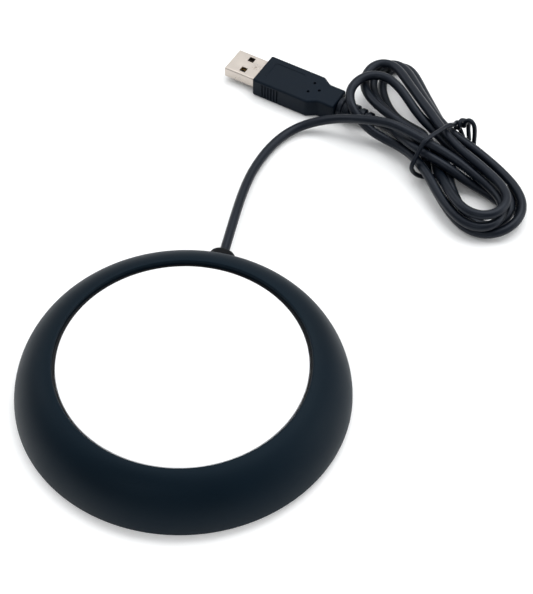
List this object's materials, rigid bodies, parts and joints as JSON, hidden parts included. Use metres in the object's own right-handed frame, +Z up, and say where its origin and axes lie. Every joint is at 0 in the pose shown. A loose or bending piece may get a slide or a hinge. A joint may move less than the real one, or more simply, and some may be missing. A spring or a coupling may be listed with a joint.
{
  "type": "usb cup warmer",
  "caption": "Low round cup warmer with a flat hot plate in a domed ring, a wire-tied cord and a USB-A plug.",
  "frame": {"origin": "centre of the round base, on the surface it rests on (the anti-slip pad's underside)", "axes": "+Z up through the hot plate, +Y towards the side where the cord leaves the base, +X to the right of that"},
  "size_m": [0.1583, 0.2323, 0.0215],
  "materials": {
    "soft_black": "soft-touch matt",
    "hard_black": "fine moulded texture",
    "white_enamel": "smooth satin enamel",
    "black_silicone": "matt",
    "amber_film": "glossy polyimide film",
    "foil": "etched resistance foil",
    "mica": "flaky sheet",
    "ceramic_felt": "felted",
    "zinc_steel": "zinc plated",
    "black_pvc": "satin extruded PVC",
    "board": "solder mask",
    "fuse_yellow": "dipped coating",
    "wire_red": "insulation",
    "wire_black": "insulation",
    "lead_clear": "glass-fibre sleeving",
    "nickel": "bright nickel plate",
    "tongue_black": "moulded",
    "gold": "gold flash"
  },
  "bodies": {
    "base": {"top_shell": "soft_black", "heating_plate": "white_enamel", "plate_gasket": "black_silicone", "heater_film": "amber_film", "heater_track": "foil", "mica_disc": "mica", "insulation_pad": "ceramic_felt", "pressure_plate": "zinc_steel", "plate_screw_1": "zinc_steel", "plate_screw_2": "zinc_steel", "plate_screw_3": "zinc_steel", "base_cover": "hard_black", "base_screw_1": "zinc_steel", "base_screw_2": "zinc_steel", "base_screw_3": "zinc_steel", "base_screw_4": "zinc_steel", "foot_1": "black_silicone", "foot_2": "black_silicone", "foot_3": "black_silicone", "foot_4": "black_silicone", "centre_pad": "black_silicone", "grommet": "black_pvc", "cord_tail": "black_pvc", "cord_clamp": "hard_black", "clamp_screw_1": "zinc_steel", "clamp_screw_2": "zinc_steel", "terminal_board": "board", "resettable_fuse": "fuse_yellow", "red_wire": "wire_red", "black_wire": "wire_black", "heater_lead_a": "lead_clear", "heater_lead_b": "lead_clear"},
    "cord": {"power_cord": "black_pvc"},
    "tie": {"wire_tie": "black_pvc"},
    "plug": {"plug_shell": "nickel", "plug_tongue": "tongue_black", "plug_contact_1": "gold", "plug_contact_2": "gold", "plug_contact_3": "gold", "plug_contact_4": "gold", "plug_overmould": "hard_black", "plug_boot": "black_pvc", "plug_cord_tail": "black_pvc", "plug_red_wire": "wire_red", "plug_black_wire": "wire_black"}
  },
  "joints": [
    {"name": "cord_swing", "type": "hinge", "parent": "base", "child": "cord", "pos_m": [-0.0009, 0.0613, 0.006], "axis": [0, 0, 1], "range_deg": [-25, 25]},
    {"name": "plug_swing", "type": "hinge", "parent": "cord", "child": "plug", "pos_m": [0.03988, 0.13986, 0.0041], "axis": [0, 0, 1], "range_deg": [-22, 7]},
    {"name": "tie_slide", "type": "slide", "parent": "cord", "child": "tie", "axis": [0.7771, -0.6293, 0], "range_m": [-0.002, 0.002]}
  ]
}
